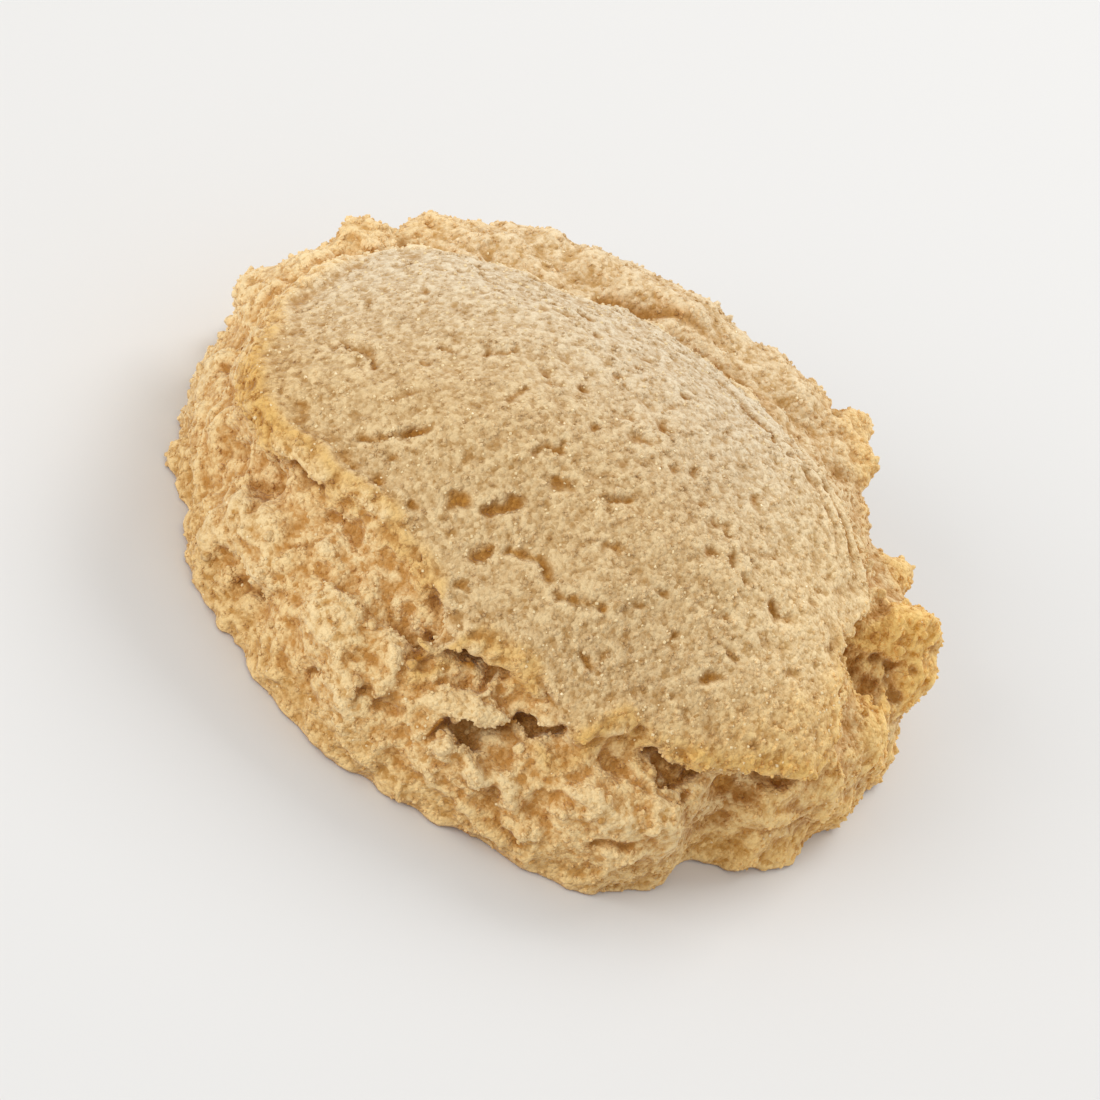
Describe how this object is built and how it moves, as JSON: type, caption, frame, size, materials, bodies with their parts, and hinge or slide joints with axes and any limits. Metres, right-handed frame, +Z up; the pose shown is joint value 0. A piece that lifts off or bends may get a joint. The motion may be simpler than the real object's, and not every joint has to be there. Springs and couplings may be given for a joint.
{
  "type": "vanilla cookie",
  "caption": "Round home-style vanilla drop cookie: pale sugared cap torn into a ragged lip over a craggy golden flank, flat baked base.",
  "frame": {"origin": "middle of the flat baked base, on the surface that the cookie rests on", "axes": "+Z up through the domed cap; the torn front lip overhangs towards -Y; +X to the right seen from the front"},
  "size_m": [0.0726, 0.0698, 0.0273],
  "materials": {
    "baked_dough": "matte, crumbly, sugared top"
  },
  "bodies": {
    "root": {"cookie": "baked_dough"}
  },
  "joints": []
}
